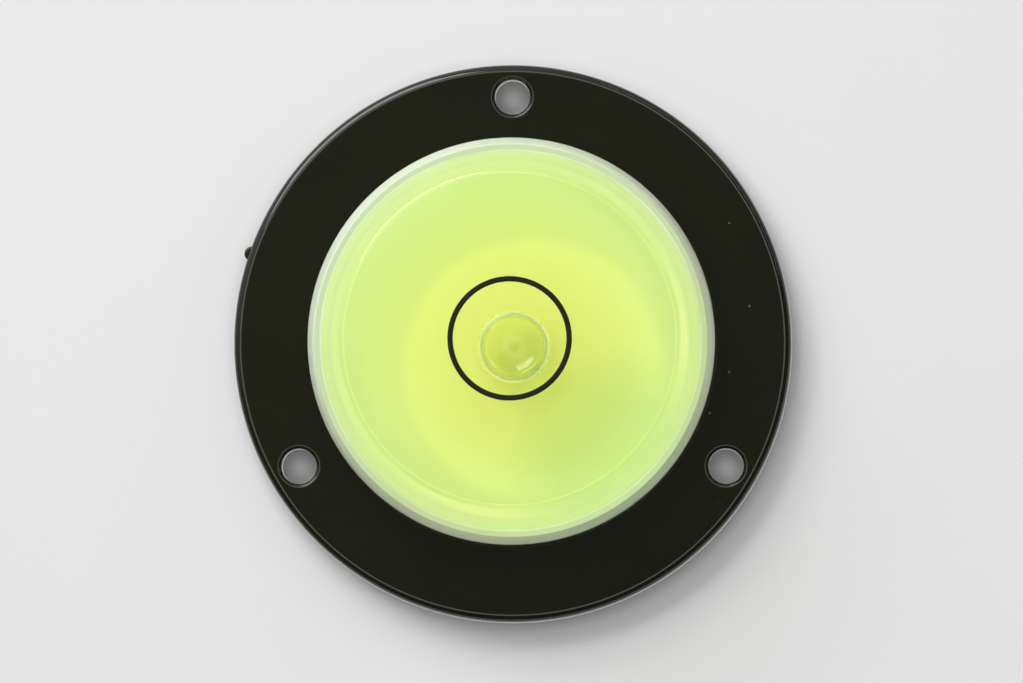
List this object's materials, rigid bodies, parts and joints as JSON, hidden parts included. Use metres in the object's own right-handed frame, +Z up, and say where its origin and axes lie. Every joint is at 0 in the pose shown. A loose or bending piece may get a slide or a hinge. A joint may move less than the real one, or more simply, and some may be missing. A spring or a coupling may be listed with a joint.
{
  "type": "bullseye level",
  "caption": "Round bubble level: a clear vial of yellow-green spirit with a target ring, standing in a black flange with screw holes.",
  "frame": {"origin": "centre of the flange's flat underside, on the axis of the vial and the target ring", "axes": "+Z up, square to the underside; +Y through the first screw hole"},
  "size_m": [0.03, 0.03, 0.0085],
  "materials": {
    "black_plastic": "glossy moulded black with an olive cast",
    "clear_acrylic": "clear polished acrylic",
    "milky_plastic": "milky white, lightly translucent",
    "green_spirit": "clear fluorescent yellow-green liquid",
    "ring_paint": "flat black paint"
  },
  "bodies": {
    "root": {"base_flange": "black_plastic", "vial_body": "clear_acrylic", "base_plug": "milky_plastic", "spirit_fill": "green_spirit", "target_ring": "ring_paint"}
  },
  "joints": []
}
